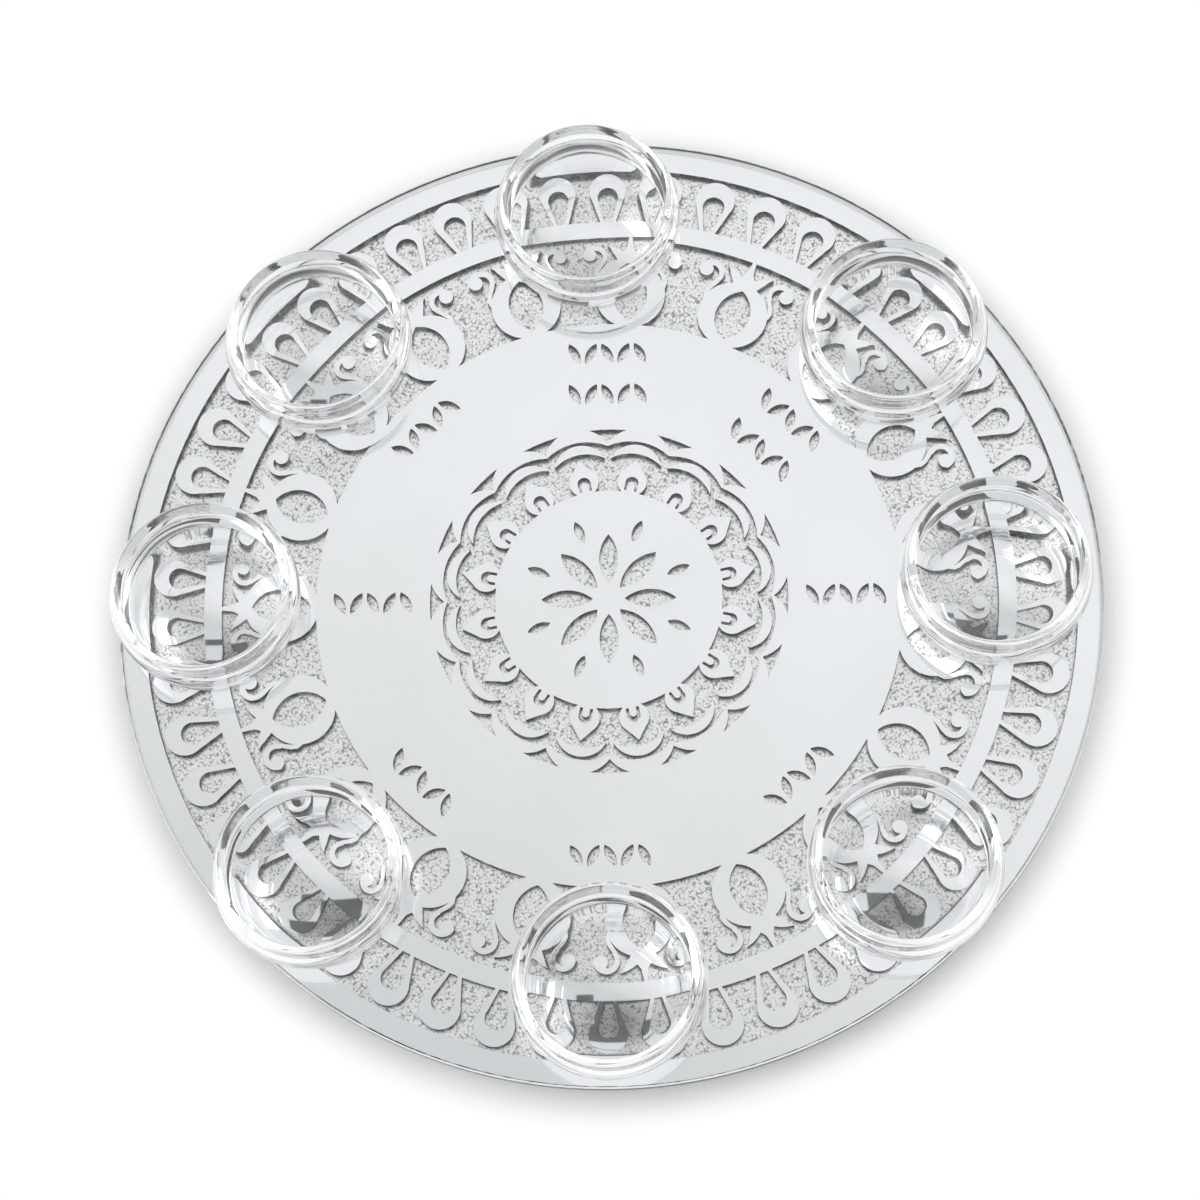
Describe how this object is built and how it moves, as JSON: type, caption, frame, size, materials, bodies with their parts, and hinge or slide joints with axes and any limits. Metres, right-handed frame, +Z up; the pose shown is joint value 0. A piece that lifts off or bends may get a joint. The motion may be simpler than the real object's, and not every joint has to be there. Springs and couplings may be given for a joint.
{
  "type": "rosh hashanah plate",
  "caption": "Round glass serving plate over a pierced mirror sheet with drop loops, pomegranates and a petal rosette, with small loose glass bowls standing round its rim.",
  "frame": {"origin": "middle of the plate at the level of the table", "axes": "+Z up; +Y towards the back of the plate, which is the top of the picture; +X to the right"},
  "size_m": [0.4004, 0.4, 0.0418],
  "materials": {
    "plate_glass": "clear polished",
    "bowl_glass": "clear pressed glass",
    "mirror_sheet": "mirror bright",
    "stippled_backing": "stippled silver",
    "clear_silicone": "soft clear"
  },
  "bodies": {
    "plate": {"glass_plate": "plate_glass", "outer_ring": "mirror_sheet", "pierced_sheet": "mirror_sheet", "crescents": "mirror_sheet", "centre_rosette": "mirror_sheet", "backing_disc": "stippled_backing", "foot_back_right": "clear_silicone", "foot_front_right": "clear_silicone", "foot_front_left": "clear_silicone", "foot_back_left": "clear_silicone"},
    "bowl_back": {"bowl_back": "bowl_glass"},
    "bowl_back_right": {"bowl_back_right": "bowl_glass"},
    "bowl_right": {"bowl_right": "bowl_glass"},
    "bowl_front_right": {"bowl_front_right": "bowl_glass"},
    "bowl_front": {"bowl_front": "bowl_glass"},
    "bowl_front_left": {"bowl_front_left": "bowl_glass"},
    "bowl_left": {"bowl_left": "bowl_glass"},
    "bowl_back_left": {"bowl_back_left": "bowl_glass"}
  },
  "joints": [
    {"name": "lift_bowl_back", "type": "slide", "parent": "plate", "child": "bowl_back", "axis": [0, 0, 1], "range_m": [0, 0.06]},
    {"name": "lift_bowl_back_right", "type": "slide", "parent": "plate", "child": "bowl_back_right", "axis": [0, 0, 1], "range_m": [0, 0.06]},
    {"name": "lift_bowl_right", "type": "slide", "parent": "plate", "child": "bowl_right", "axis": [0, 0, 1], "range_m": [0, 0.06]},
    {"name": "lift_bowl_front_right", "type": "slide", "parent": "plate", "child": "bowl_front_right", "axis": [0, 0, 1], "range_m": [0, 0.06]},
    {"name": "lift_bowl_front", "type": "slide", "parent": "plate", "child": "bowl_front", "axis": [0, 0, 1], "range_m": [0, 0.06]},
    {"name": "lift_bowl_front_left", "type": "slide", "parent": "plate", "child": "bowl_front_left", "axis": [0, 0, 1], "range_m": [0, 0.06]},
    {"name": "lift_bowl_left", "type": "slide", "parent": "plate", "child": "bowl_left", "axis": [0, 0, 1], "range_m": [0, 0.06]},
    {"name": "lift_bowl_back_left", "type": "slide", "parent": "plate", "child": "bowl_back_left", "axis": [0, 0, 1], "range_m": [0, 0.06]}
  ]
}
